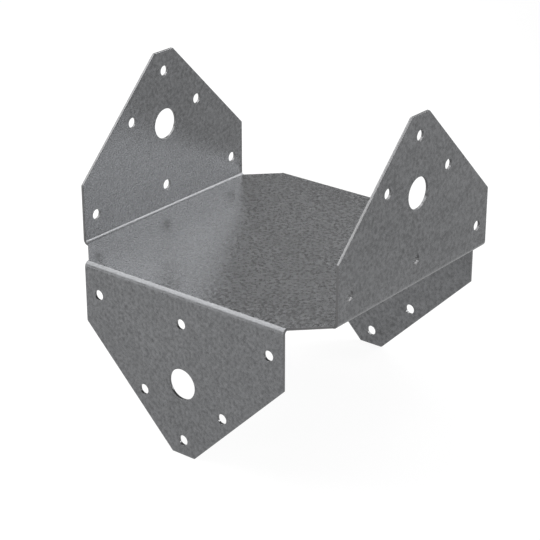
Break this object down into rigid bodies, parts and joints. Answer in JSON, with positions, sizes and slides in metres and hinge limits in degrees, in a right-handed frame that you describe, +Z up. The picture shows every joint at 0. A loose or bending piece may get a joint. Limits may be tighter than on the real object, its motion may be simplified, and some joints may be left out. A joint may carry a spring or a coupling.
{
  "type": "column cap",
  "caption": "Folded galvanised sheet cap that joins a square post to a beam: plate with cut corners, tapered flanges up and down, punched for nails and a bolt.",
  "frame": {"origin": "centre of the plate's underside, where the top of the post bears", "axes": "+Z up, away from the post; the beam lies along Y between the upright flanges, which face X; the hanging flanges face Y"},
  "size_m": [0.1422, 0.1422, 0.1536],
  "materials": {
    "galvanised_steel": "dull galvanised zinc with a fine grey spangle"
  },
  "bodies": {
    "root": {"cap_sheet": "galvanised_steel"}
  },
  "joints": []
}
